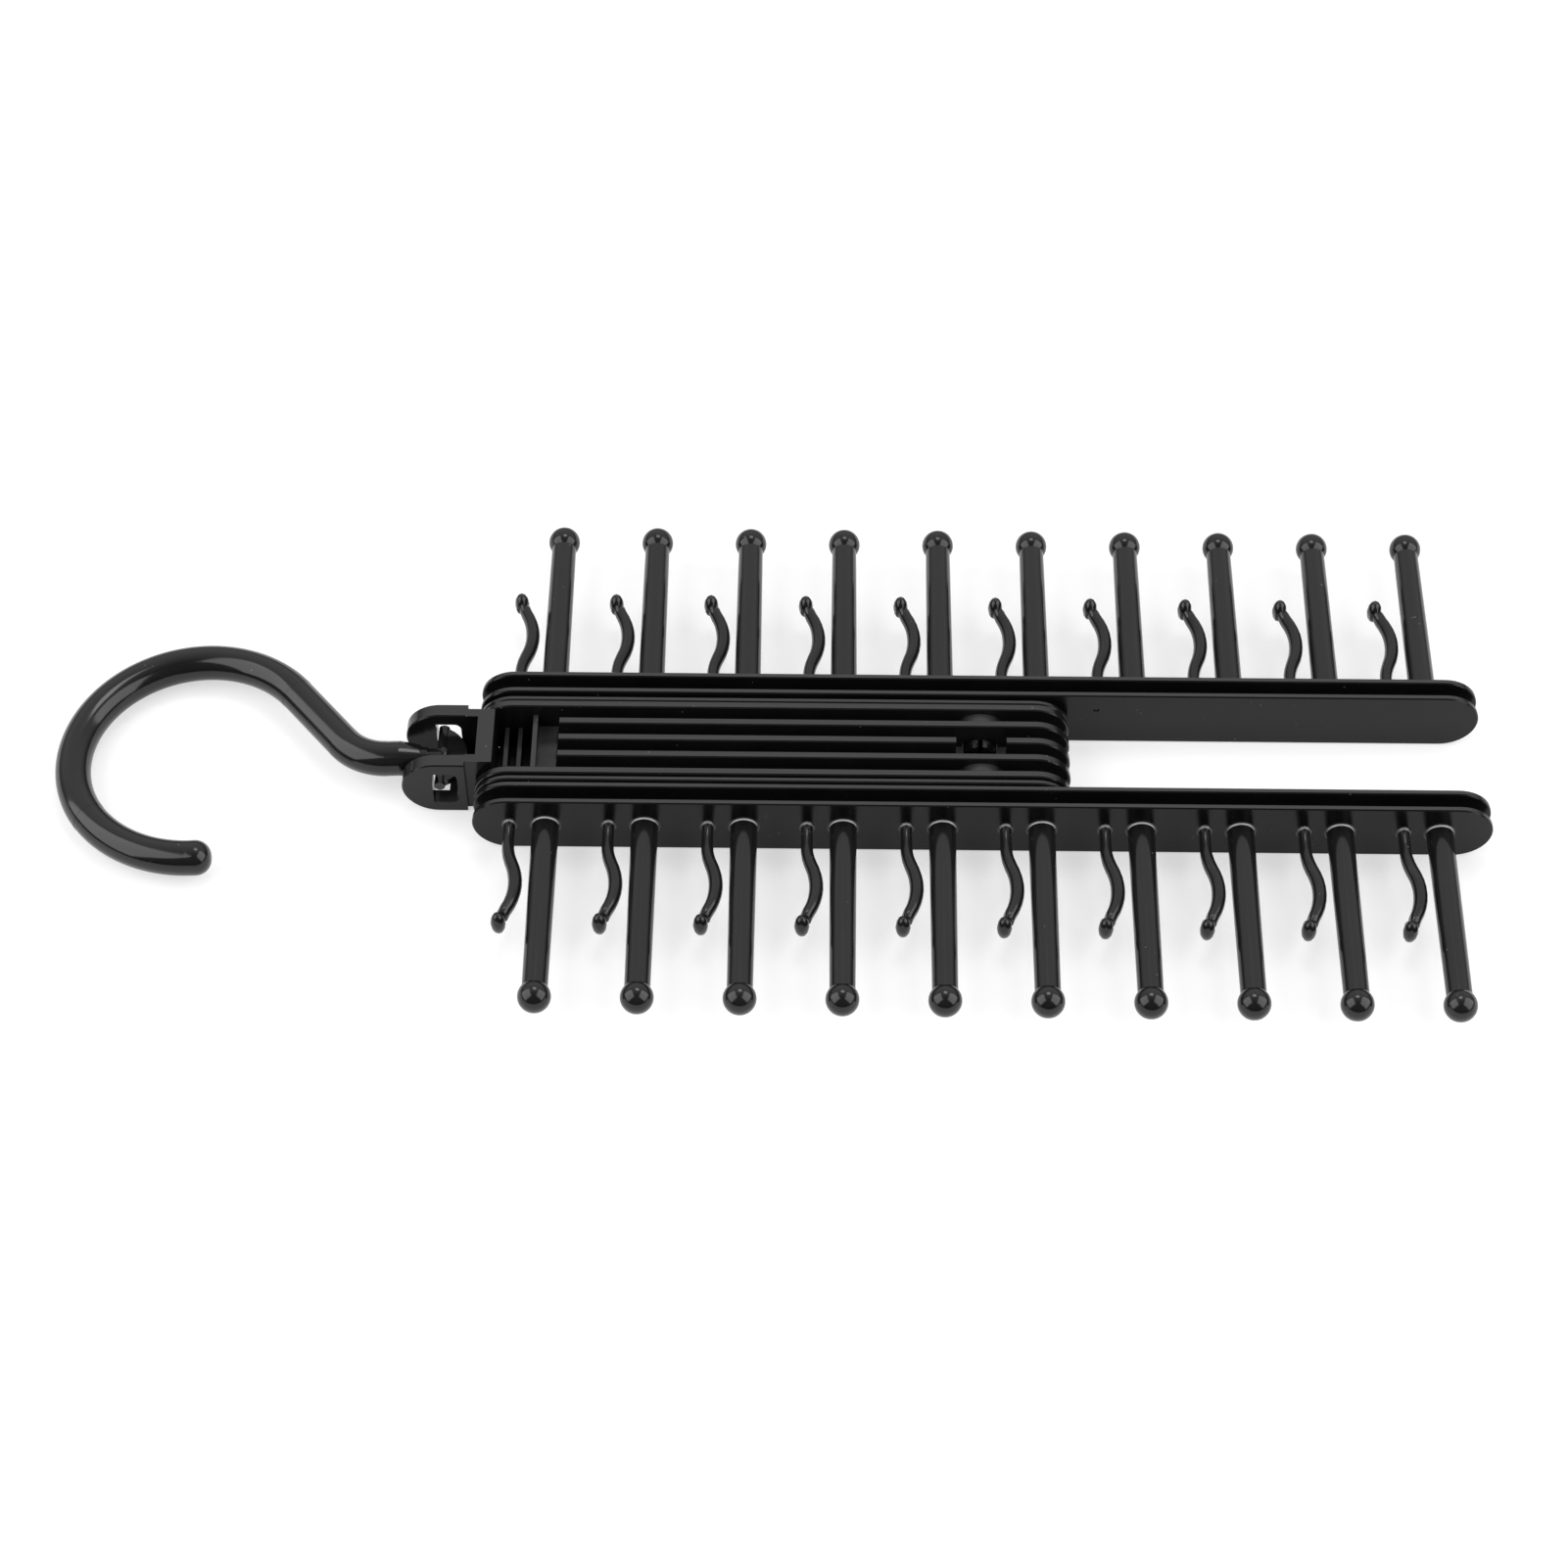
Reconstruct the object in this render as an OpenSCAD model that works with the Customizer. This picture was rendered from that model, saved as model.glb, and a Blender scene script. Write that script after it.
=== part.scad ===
// Folding tie hanger: a hook, a yoke and a long stem with two hinged rails,
// each rail with a row of round pegs and a springy clip beside every peg.
// It lies closed on its long edges. X runs along the stem, the hook points to -X,
// Y runs across it, the pegs point to +Y and -Y, and Z is up from the table.
// The origin is the middle of the closed hanger's footprint, on the table.

/* [Rails] */
// Height of the rails, the stem and the yoke
rack_h = 18.4; // [16:0.2:22]
// Length of a rail, over its round ends
rail_l = 257; // [240:1:300]
// Thickness of a rail's two side plates
rail_plate_t = 1.6; // [1.2:0.1:2]
// Clear channel between the two plates of a rail
rail_channel = 3.6; // [3:0.1:6]
// Thickness of the web between the plates
rail_web_t = 1.8; // [1.2:0.1:3]
// Distance from the end of a rail to the end of its web
rail_web_inset = 3; // [2:0.5:8]
// Running gap between a rail and the side plate next to it
rail_gap = 0.65; // [0.4:0.05:1.5]
// Diameter of the shallow gate mark on the inner face of a rail
gate_d = 1.6; // [1:0.1:3]
// Depth of the gate mark
gate_depth = 0.3; // [0.2:0.1:0.6]
// Distance of the gate mark from the pivot
gate_x = 30; // [20:1:40]
// Height of the gate mark above mid height
gate_up = 3.7; // [2:0.1:6]

/* [Pegs] */
// Number of pegs on each rail
peg_count = 10; // [4:1:10]
// Distance from the rail's hook end to the first peg
peg_first = 18.6; // [14:0.1:22]
// Distance from the last peg to the rail's other end
peg_last = 13.4; // [10:0.1:20]
// Diameter of a peg at the rail
peg_d = 6.9; // [5:0.1:8]
// Diameter of a peg behind its ball
peg_neck_d = 6.4; // [4.6:0.1:6.8]
// Diameter of the ball at the tip
ball_d = 8.3; // [8:0.1:10]
// Distance from the rail's outer face to the middle of the ball
peg_reach = 52.5; // [45:0.5:60]
// Radius of the round foot where a peg meets the rail
peg_foot_r = 0.6; // [0.3:0.1:1]

/* [Clips] */
// Distance from a peg's axis to the root of its clip
clip_root_x = 9.1; // [8.4:0.1:10]
// Thickness of a clip at its root
clip_t = 2.9; // [2:0.1:3.4]
// Thickness of a clip on the crest of its bulge
clip_crest_t = 3.6; // [2:0.1:4]
// Thickness of a clip behind its bead
clip_tip_t = 3.1; // [2:0.1:3.4]
// Height of a clip
clip_h = 4.2; // [3:0.2:7]
// Straight length at the root
clip_straight = 6.2; // [3:0.2:8]
// How far the clip bulges towards its peg
clip_bulge = 2.5; // [2:0.1:3.4]
// Distance from the rail to the crest of the bulge
clip_bulge_y = 18.8; // [17:0.2:23]
// How far the bead's middle lies back from the crest of the bulge
clip_back = 2.9; // [2:0.1:5]
// Distance from the rail to the middle of the bead
clip_tip_y = 30.6; // [29:0.2:36]
// Radius of the clip's centre line on the crest
clip_crest_r = 17; // [9:0.5:18]
// Diameter of the bead at the tip
bead_d = 3.8; // [3.6:0.1:5]
// Height of the bead
bead_h = 7.6; // [4:0.2:9]
// Distance of the bead towards the hook from the tip's centre line
bead_out = 0.6; // [0:0.1:1]
// Radius of the round foot where a clip meets the rail
clip_foot_r = 0.6; // [0.3:0.1:1]

/* [Stem] */
// Distance from the pivot to the free end of the stem
stem_tail = 22.9; // [16:0.1:40]
// Thickness of the stem's outer plates
stem_plate_t = 2.1; // [1.6:0.1:3]
// Clear width between the stem's outer plates
stem_inner_w = 19.4; // [19:0.1:24]
// Thickness of a long fin
fin_t = 2.1; // [1.4:0.1:2.6]
// Distance from the middle to a side fin
fin_y = 5.3; // [5:0.1:5.8]
// Distance from the stem's hook end to the start of the fins
fin_start = 20; // [18:0.5:40]
// Length of the slanted start of a fin
fin_slant = 1.2; // [0:0.1:3]
// Thickness of the web that joins the fins
stem_web_t = 2; // [1.2:0.1:3]
// Distance from the end of the stem to the end of its web
stem_web_inset = 0.8; // [0.5:0.1:4]
// Length of the gap in the middle fin at the pivot
fin_gap = 12.8; // [11:0.2:20]
// Distance of the cross wall from the stem's hook end
wall_x = 14.8; // [13:0.1:16]
// Height of the cross wall
wall_h = 14.8; // [12:0.2:15]
// Thickness of the cross wall
wall_t = 1.2; // [0.8:0.1:2]
// Thickness of the floor of the yoke's pocket
pocket_floor_t = 0.8; // [0.6:0.1:1.4]
// Height of the underside of the pocket floor
pocket_floor_z = 0.9; // [0.6:0.1:2]
// Gap between the crossbar of the yoke and the pocket floor
pocket_gap = 0.7; // [0.5:0.1:1.2]
// Height of the two cross ribs
rib_h = 9.5; // [8:0.1:12]
// Thickness of a cross rib
rib_t = 1.1; // [0.8:0.1:1.6]
// Distances of the two cross ribs from the stem's hook end
rib_x = [7.2, 10.6];

/* [Side plates] */
// Thickness of the loose side plate beside the stem
side_t = 1.4; // [1:0.1:1.8]
// Play of a side plate between the stem and the rail
side_play = 0.78; // [0.4:0.02:1.2]
// Distance of the locating pin from the hook end of the stem
locate_x = 20; // [12:1:40]
// Diameter of the locating pin
locate_d = 4; // [3:0.2:6]

/* [Pivots] */
// Diameter of the split stub that carries a rail
stub_d = 7; // [6:0.1:8]
// Diameter of the snap head at the end of the stub
snap_d = 8.4; // [7.8:0.1:9.4]
// Length of the snap head
snap_l = 1.8; // [1.4:0.1:2]
// Width of the slit in the stub
slit_w = 1.2; // [0.8:0.1:2]
// Length of the slit
slit_l = 9; // [6:0.5:11]
// Diameter of the shoulder that holds a rail off the stem
shoulder_d = 12; // [10:0.5:16]
// Running clearance of a round fit, on the radius
fit_c = 0.08; // [0.05:0.01:0.1]
// Clearance at the end faces of a running fit
face_c = 0.2; // [0.1:0.05:0.3]
// Clearance round the snap head
snap_c = 0.4; // [0.3:0.05:0.6]
// Outside diameter of the boss round the stub
boss_d = 15.2; // [12.6:0.1:16]

/* [Yoke] */
// Clear width between the ears
ear_gap = 12.4; // [12:0.1:13.4]
// Thickness of an ear
ear_t = 3.9; // [3:0.1:4.4]
// Length of an ear, over its round end
ear_l = 16.3; // [15:0.1:18]
// Width of the neck that goes into the stem
neck_w = 17.2; // [16.4:0.1:18.6]
// Length of the neck, up to the end of the crossbar
neck_l = 6.9; // [6:0.1:8]
// Thickness of the crossbar
crossbar_t = 4.2; // [3:0.1:4.6]
// Distance from the hook end of the stem to the far side of the crossbar
neck_depth = 4.6; // [4:0.1:5]
// Width of the window in an ear
window_w = 6.4; // [6:0.1:6.6]
// Height of the window in an ear
window_h = 11.2; // [10.4:0.2:12]
// Width of the ear's rim between the window and the neck
window_rim = 2; // [1.6:0.1:2.6]
// Radius of the window's corners on the stem side
window_r = 1.8; // [0.6:0.1:2]
// Length of the floor between the ears, from the neck towards the hook
yoke_floor_l = 5; // [3:0.1:5]
// Thickness of that floor
yoke_floor_t = 1.2; // [0.8:0.1:1.4]
// Height of the underside of that floor
yoke_floor_z = 0.4; // [0.4:0.1:0.6]
// Width of the tongue that snaps into the pocket
tongue_w = 9.6; // [6:0.2:12]
// Thickness of the tongue
tongue_t = 0.8; // [0.8:0.1:1.2]
// Clearance round the tongue
tongue_c = 0.3; // [0.2:0.05:0.4]
// Height of the lip at the end of the tongue, above the tongue
lip_h = 0.6; // [0.4:0.1:1]
// Length of the lip along the tongue
lip_l = 1; // [0.6:0.1:1.4]

/* [Hook] */
// Diameter of the hook's rod
rod_d = 9.1; // [8:0.1:9.4]
// Radius of the loop's centre line
loop_r = 31.6; // [26:0.1:36]
// Distance from the cross pin to the middle of the loop
loop_x = 63.8; // [60:0.1:72]
// Sideways shift of the middle of the loop
loop_y = 1.8; // [0:0.1:3]
// Angle of the slanted neck
neck_turn = 50.5; // [46:0.5:56]
// Radius of the bend between the shank and the neck
neck_r = 15; // [8:0.5:16]
// Angle between the tip and the shank's direction, seen from the middle of the loop
tip_angle = 88.5; // [70:0.5:110]
// Radius of the flatter last run of the loop
end_r = 33.7; // [32.4:0.1:40]
// Length of that run
end_l = 32; // [20:1:40]
// Radius of the round edge at the rod's end
tip_round = 3.3; // [1:0.1:4]
// Diameter of the cross pin
pin_d = 2.8; // [2.4:0.1:3.2]
// Length of the cross pin
pin_l = 18.8; // [17:0.1:19.2]
// Distance from the window's hook side to the cross pin's axis
pin_x = 1.7; // [1.7:0.1:1.9]
// Depth of the round web behind the cross pin
pin_web = 6.5; // [5:0.1:6.5]
// Thickness of that web
pin_web_t = 1.8; // [1.2:0.1:2]
// Distance from the end of the cross pin to the edge of the web
pin_bare = 0.3; // [0.3:0.1:1]
// Diameter of the shank's end before its collars
shank_end_d = 6.6; // [5:0.1:7.4]
// Diameters of the two collars next to the cross pin
collar_d = [5.6, 4.6];
// Distances from the cross pin to the steps of the shank: taper, end and collar
shank_steps = [10.6, 5.4, 3.6];

/* [Edges] */
// Bevel on the edges of the plates
edge = 0.3; // [0.15:0.05:0.45]
// Smoothness of round forms
$fn = 48; // [24:4:96]

/* [Hidden] */
// Heights are counted from mid height, and lengths along the stem from the pivot
mid_z = rack_h / 2;
half_rail = rail_l / 2;

// Faces across the stem, from the middle outwards
stem_in_y = stem_inner_w / 2;
stem_out_y = stem_in_y + stem_plate_t;
side_in_y = stem_out_y + side_play;
side_out_y = side_in_y + side_t;
rail_in_y = side_out_y + rail_gap;
rail_face_y = rail_in_y + 2 * rail_plate_t + rail_channel;

// The pegs share the rail out evenly between the first and the last
peg_pitch = (rail_l - peg_first - peg_last) / (peg_count - 1);
peg_shift = (peg_first - peg_last) / 2;

// Cuts reach this far past the faces that they open
cut = 1;

// The snap heads lie between the side fins and the middle
fin_in_y = fin_y - fin_t / 2;
head_y = fin_in_y - face_c;
head_end_y = head_y - snap_l;

// The yoke and the cross pin along the stem
crossbar_x = -half_rail + neck_depth;
ear_x = crossbar_x - neck_l;
ear_w = ear_gap + 2 * ear_t;
window_x = ear_x - window_rim;
pin_at_x = window_x - window_w + pin_x;

// Places along the stem that are counted from its hook end
fins_at = fin_start - half_rail;
wall_at = wall_x - half_rail;
rib_at = [for (x = rib_x) x - half_rail];
floor_at = crossbar_x + pocket_gap;
// Heights of the pocket floor and of the tongue that lies on it
floor_z = pocket_floor_z - mid_z;
tongue_z = floor_z + pocket_floor_t + tongue_c;

// The hook droops until its loop touches the table
droop = asin((mid_z - rod_d / 2) / (loop_x + loop_r));
// The straight runs of the rod lap into its bends, and are a hair thinner there
lap = 0.2;
seam = 0.1;
tip_steps = 8;
hook_end_x = pin_at_x - (loop_x + loop_r) * cos(droop) - rod_d / 2;

// The middle of the whole length lies over the origin
pivot_x = -(hook_end_x + half_rail) / 2;

// Bends of a clip, from the offsets that it has to reach
clip_turn = 2 * atan(clip_bulge / (clip_bulge_y - clip_straight));
clip_root_r = (clip_bulge_y - clip_straight) / sin(clip_turn) - clip_crest_r;
clip_lean = 2 * atan(clip_back / (clip_tip_y - clip_bulge_y));
clip_tip_r = (clip_tip_y - clip_bulge_y) / sin(clip_lean) - clip_crest_r;

// Where the bends of a clip start and end, and the distances along it
clip_in = [clip_root_r * (1 - cos(clip_turn)), clip_straight + clip_root_r * sin(clip_turn)];
clip_on = [
    clip_bulge - clip_crest_r * (1 - cos(clip_lean)),
    clip_bulge_y + clip_crest_r * sin(clip_lean)
];
clip_s = [
    clip_straight,
    clip_straight + clip_root_r * clip_turn * PI / 180,
    clip_straight + (clip_root_r * clip_turn + clip_crest_r * (clip_turn + clip_lean)) * PI / 180,
    clip_straight + (clip_root_r * clip_turn + clip_crest_r * (clip_turn + clip_lean)
        + clip_tip_r * clip_lean) * PI / 180
];
crest_s = clip_s[1] + clip_crest_r * clip_turn * PI / 180;
bead_s = clip_s[3];
bead_from = bead_s - bead_d / 2;
clip_sides = 12;
clip_rings = 12;
bead_rings = 7;
bead_close = 78;

// From the pivot at mid height to the hanger's own frame
module place() {
    translate([pivot_x, 0, mid_z]) children();
}

// The front half is drawn along -Y and the back half is its mirror image
module front_half() {
    mirror([0, 1, 0]) children();
}

// A bevelled plate with round ends, lying in the XZ plane.
// It reaches from x0 to x1 and from y = 0 to y = t.
module round_plate(x0, x1, t, h = rack_h, bevel = edge) {
    r = h / 2;
    half_section = [
        [0, 0], [r - bevel, 0], [r, bevel],
        [r, t - bevel], [r - bevel, t], [0, t]
    ];
    for (x = [x0 + r, x1 - r])
        translate([x, t, 0])
            rotate([90, 0, 0])
                rotate_extrude(convexity = 4) polygon(half_section);
    translate([x0 + r, 0, 0])
        rotate([90, 0, 90])
            linear_extrude(x1 - x0 - 2 * r)
                polygon([
                    [0, bevel - r], [bevel, -r], [t - bevel, -r], [t, bevel - r],
                    [t, r - bevel], [t - bevel, r], [bevel, r], [0, r - bevel]
                ]);
}

// A cylinder along +Y that starts at y
module y_cylinder(d, l, y = 0, d_end = undef) {
    translate([0, y, 0])
        rotate([-90, 0, 0])
            cylinder(h = l, d1 = d, d2 = is_undef(d_end) ? d : d_end);
}

// A concave ring that blends a round root of diameter d into the face at y = 0
module foot(d, r) {
    rotate([-90, 0, 0])
        rotate_extrude()
            difference() {
                square([d / 2 + r, r]);
                translate([d / 2 + r, r]) circle(r = r);
            }
}

// Stem: two outer plates, three fins and a web, with a pocket at the hook end
module stem() {
    x0 = -half_rail;
    x1 = stem_tail;
    web_x1 = stem_tail - stem_web_inset;
    color([0.08, 0.08, 0.09])
        place()
            difference() {
                union() {
                    for (side = [0, 1])
                        mirror([0, side, 0]) {
                            translate([0, stem_in_y, 0]) round_plate(x0, x1, stem_plate_t);
                            translate([0, fin_in_y, 0]) fin();
                            y_cylinder(boss_d, stem_in_y - fin_y, fin_y);
                            locating_pin();
                        }
                    translate([0, -fin_t / 2, 0]) fin();
                    stem_web(web_x1);
                    pocket_parts();
                }
                snap_room();
                stub_bores();
            }
}

// A fin from its slanted start to the round end of the stem
module fin() {
    r = rack_h / 2;
    intersection() {
        round_plate(fins_at - r, stem_tail, fin_t);
        translate([0, fin_t + cut, 0])
            rotate([90, 0, 0])
                linear_extrude(fin_t + 2 * cut)
                    polygon([
                        [fins_at, -r - cut], [fins_at, 0],
                        [fins_at + fin_slant, r], [fins_at + fin_slant, r + cut],
                        [stem_tail + cut, r + cut], [stem_tail + cut, -r - cut]
                    ]);
    }
}

// The web fills the width between the outer plates at mid height
module stem_web(x1) {
    translate([wall_at, -stem_in_y, -stem_web_t / 2])
        cube([x1 - wall_at, stem_inner_w, stem_web_t]);
}

// Floor, cross wall and cross ribs of the deep pocket that takes the yoke
module pocket_parts() {
    translate([floor_at, -stem_in_y, floor_z])
        cube([wall_at - floor_at, stem_inner_w, pocket_floor_t]);
    translate([wall_at - wall_t / 2, -stem_in_y, floor_z])
        cube([wall_t, stem_inner_w, wall_h - pocket_floor_z]);
    difference() {
        for (x = rib_at)
            translate([x - rib_t / 2, -stem_in_y, floor_z])
                cube([rib_t, stem_inner_w, rib_h - pocket_floor_z]);
        tongue_slot();
    }
}

// Slot through the first rib that the tongue is pushed through
module tongue_slot() {
    slot_w = tongue_w + 2 * tongue_c;
    translate([rib_at[0] - rib_t / 2 - cut, -slot_w / 2, floor_z + pocket_floor_t])
        cube([rib_t + 2 * cut, slot_w, tongue_t + 2 * tongue_c]);
}

// Gap in the middle fin above and below the web, and slots in the web,
// so that both snap heads have room
module snap_room() {
    for (side = [0, 1])
        mirror([0, 0, side])
            translate([-fin_gap / 2, -fin_t, stem_web_t / 2])
                cube([fin_gap, 2 * fin_t, rack_h]);
    for (side = [0, 1])
        mirror([0, side, 0])
            translate([-snap_d / 2 - snap_c, head_end_y - snap_c, -stem_web_t])
                cube([snap_d + 2 * snap_c, fin_in_y - head_end_y + snap_c, 2 * stem_web_t]);
}

// Bores for the two stubs, each through an outer plate, a boss and a side fin
module stub_bores() {
    for (side = [0, 1])
        mirror([0, side, 0])
            y_cylinder(stub_d + 2 * fit_c, stem_out_y + cut - head_end_y, head_end_y);
}

// Pin on the stem that keeps a side plate in line
module locating_pin() {
    translate([locate_x - half_rail, 0, 0])
        y_cylinder(locate_d, side_play + side_t, stem_out_y);
}

// Side plate: same outline as the stem, loose between the stem and the rail
module side_plate(y) {
    translate([0, y, 0])
        difference() {
            round_plate(-half_rail, stem_tail, side_t);
            y_cylinder(shoulder_d + 2 * fit_c, side_t + 2 * cut, -cut);
            translate([locate_x - half_rail, 0, 0])
                y_cylinder(locate_d + 2 * fit_c, side_t + 2 * cut, -cut);
        }
}

module front_side_plate() {
    color([0.1, 0.1, 0.11]) place() front_half() side_plate(side_in_y);
}

module back_side_plate() {
    color([0.1, 0.1, 0.11]) place() side_plate(stem_out_y);
}

// Rail: two plates with round ends, the web between them and the split stub
module rail() {
    difference() {
        union() {
            for (y = [rail_in_y, rail_face_y - rail_plate_t])
                translate([0, y, 0]) round_plate(-half_rail, half_rail, rail_plate_t);
            translate([-half_rail + rail_web_inset, rail_in_y + rail_plate_t / 2, -rail_web_t / 2])
                cube([rail_l - 2 * rail_web_inset, rail_channel + rail_plate_t, rail_web_t]);
            stub();
        }
        stub_slit();
        translate([gate_x, 0, gate_up]) y_cylinder(gate_d, gate_depth + cut, rail_in_y - cut);
    }
}

// Shoulder, shaft and snap head of a stub, from the rail inwards
module stub() {
    y_cylinder(shoulder_d, rail_in_y - stem_out_y - face_c, stem_out_y + face_c);
    y_cylinder(stub_d, rail_in_y - head_y, head_y);
    y_cylinder(stub_d, snap_l / 2, head_end_y, snap_d);
    y_cylinder(snap_d, snap_l / 2, head_y - snap_l / 2);
}

module stub_slit() {
    translate([-slit_w / 2, head_end_y - cut, -snap_d])
        cube([slit_w, slit_l + cut, 2 * snap_d]);
}

module front_rail() {
    color([0.12, 0.12, 0.13]) place() front_half() rail();
}

module back_rail() {
    color([0.12, 0.12, 0.13]) place() rail();
}

// Distance from the pivot to peg i, counted from the hook
function peg_x(i) = peg_shift + (i - (peg_count + 1) / 2) * peg_pitch;

// Peg: round foot, slightly tapered shaft and ball tip, standing on the face y = 0
module peg() {
    foot(peg_d, peg_foot_r);
    y_cylinder(peg_d, peg_reach, 0, peg_neck_d);
    translate([0, peg_reach, 0]) sphere(d = ball_d);
}

module front_peg(i) {
    color([0.14, 0.14, 0.15])
        place() front_half() translate([peg_x(i), rail_face_y, 0]) peg();
}

module back_peg(i) {
    color([0.14, 0.14, 0.15])
        place() translate([peg_x(i), rail_face_y, 0]) peg();
}

// Centre line of a clip: a straight root, three bends that run into each other and a
// straight tip. It gives [x, y, heading] at distance s, with x towards the peg.
function bend(x, y, a, r, s) = [
    x + r * (cos(a) - cos(a + s / r * 180 / PI)),
    y + r * (sin(a + s / r * 180 / PI) - sin(a)),
    a + s / r * 180 / PI
];
function clip_line(s) =
    s < clip_s[0] ? [0, s, 0]
    : s < clip_s[1] ? bend(0, clip_straight, 0, clip_root_r, s - clip_s[0])
    : s < clip_s[2] ? bend(clip_in[0], clip_in[1], clip_turn, -clip_crest_r, s - clip_s[1])
    : s < clip_s[3] ? bend(clip_on[0], clip_on[1], -clip_lean, clip_tip_r, s - clip_s[2])
    : [clip_bulge - clip_back, clip_tip_y + s - clip_s[3], 0];

// Thickness of the finger at distance s: it swells evenly up to the crest and back
function clip_swell(w) = w * w * (3 - 2 * w);
function clip_thick(s) =
    s < crest_s
    ? clip_t + (clip_crest_t - clip_t) * clip_swell(s / crest_s)
    : clip_tip_t + (clip_crest_t - clip_tip_t) * clip_swell((bead_s - s) / (bead_s - crest_s));
function clip_foot(s) = s < clip_foot_r ? clip_foot_r * pow(1 - s / clip_foot_r, 2) : 0;

// Outline of the bead at distance s, as a share of its half width
function bead_share(s) = sqrt(max(0, 1 - pow((s - bead_s) / (bead_d / 2), 2)));

// Half thickness and half height of a clip: an oval finger that ends in an upright bead
function clip_half(s) =
    max(s > bead_s ? 0 : clip_thick(s) / 2 + clip_foot(s), bead_d / 2 * bead_share(s));
function clip_high(s) =
    max(s > bead_s ? 0 : clip_h / 2 + clip_foot(s), bead_h / 2 * bead_share(s));

// A ring of the clip; the bead stands out a little on the hook side
function clip_ring(s) =
    let (p = clip_line(s), push = s > bead_from ? bead_out : 0)
    [for (k = [0 : clip_sides - 1])
        let (w = 360 * k / clip_sides, u = clip_half(s) * cos(w) - push)
        [p[0] + u * cos(p[2]), p[1] - u * sin(p[2]), clip_high(s) * sin(w)]];

// Clip: a springy finger with one bulge towards the peg and a beaded tip
module clip() {
    stations = concat(
        [0, clip_foot_r / 2, clip_foot_r],
        [for (k = [0 : clip_rings])
            clip_straight + k * (bead_from - clip_straight) / clip_rings],
        [for (k = [1 : bead_rings])
            bead_s + bead_d / 2 * sin(k * (90 + bead_close) / bead_rings - 90)]
    );
    points = [for (s = stations) each clip_ring(s)];
    n = len(stations);
    polyhedron(
        points = points,
        faces = concat(
            [[for (k = [0 : clip_sides - 1]) k]],
            [for (j = [0 : n - 2], k = [0 : clip_sides - 1])
                let (a = j * clip_sides + k, b = j * clip_sides + (k + 1) % clip_sides)
                each [[a, a + clip_sides, b], [b, a + clip_sides, b + clip_sides]]],
            [[for (k = [clip_sides - 1 : -1 : 0]) (n - 1) * clip_sides + k]]
        )
    );
}

module front_clip(i) {
    color([0.16, 0.16, 0.17])
        place() front_half()
            translate([peg_x(i) - clip_root_x, rail_face_y, 0]) clip();
}

module back_clip(i) {
    color([0.16, 0.16, 0.17])
        place() translate([peg_x(i) - clip_root_x, rail_face_y, 0]) clip();
}

// Yoke: two round ears with windows, a neck with a crossbar and a tongue
module yoke() {
    color([0.13, 0.13, 0.14])
        place() {
            difference() {
                union() {
                    for (side = [0, 1])
                        mirror([0, side, 0])
                            translate([0, ear_gap / 2, 0]) ear();
                    neck();
                    yoke_floor();
                }
                for (side = [0, 1]) mirror([0, side, 0]) ear_window();
            }
            tongue();
        }
}

// An ear is round on its hook side and square where it meets the neck
module ear() {
    intersection() {
        round_plate(ear_x - ear_l, ear_x + rack_h, ear_t);
        translate([ear_x - ear_l - cut, -cut, -rack_h])
            cube([ear_l + cut, ear_t + 2 * cut, 2 * rack_h]);
    }
}

// The neck carries on from the ears, a little narrower, up to the crossbar
module neck() {
    difference() {
        translate([ear_x, -neck_w / 2, -mid_z]) cube([neck_l, neck_w, rack_h]);
        translate([ear_x - cut, -ear_gap / 2, -rack_h])
            cube([neck_l - crossbar_t + cut, ear_gap, 2 * rack_h]);
    }
}

// Floor between the ears, under the web of the hook
module yoke_floor() {
    translate([ear_x - yoke_floor_l, -ear_gap / 2, yoke_floor_z - mid_z])
        cube([yoke_floor_l + neck_l - crossbar_t, ear_gap, yoke_floor_t]);
}

// Window in an ear, with round corners on the stem side
module ear_window() {
    translate([window_x - window_w, ear_w, 0])
        rotate([90, 0, 0])
            linear_extrude(ear_w)
                difference() {
                    translate([0, -window_h / 2]) square([window_w, window_h]);
                    for (z = [0, 1])
                        mirror([0, z])
                            translate([window_w - window_r, window_h / 2 - window_r])
                                difference() {
                                    square(window_r + cut);
                                    circle(r = window_r);
                                }
                }
}

// Tongue that lies on the pocket floor, with a lip that catches behind the first rib
module tongue() {
    lip_x = rib_at[0] + rib_t / 2 + tongue_c;
    translate([crossbar_x, -tongue_w / 2, tongue_z])
        cube([lip_x + lip_l - crossbar_x, tongue_w, tongue_t]);
    translate([lip_x, -tongue_w / 2, tongue_z]) cube([lip_l, tongue_w, tongue_t + lip_h]);
}

// Hook: cross pin with a round web, collars, shank, slanted neck and loop
module hook() {
    color([0.11, 0.11, 0.12])
        place()
            translate([pin_at_x, 0, 0])
                rotate([0, -droop, 0]) {
                    cross_pin();
                    shank();
                    neck_and_loop();
                }
}

// The cross pin turns in the windows of the ears, with a web that braces it
module cross_pin() {
    web_half = pin_l / 2 - pin_bare;
    web_r = (web_half * web_half + pin_web * pin_web) / (2 * pin_web);
    y_cylinder(pin_d, pin_l, -pin_l / 2);
    for (side = [0, 1])
        mirror([0, side, 0]) y_cylinder(collar_d[1], collar_d[1] / 2, 0, pin_d);
    intersection() {
        translate([pin_web - web_r, 0, -pin_web_t / 2]) cylinder(h = pin_web_t, r = web_r);
        translate([0, -pin_l / 2, -pin_web_t]) cube([pin_web + cut, pin_l, 2 * pin_web_t]);
    }
}

// A turned piece of the shank between two distances from the cross pin
module shank_piece(from, to, d_from, d_to) {
    translate([-from, 0, 0])
        rotate([0, -90, 0])
            cylinder(h = to - from, d1 = d_from, d2 = d_to);
}

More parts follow.
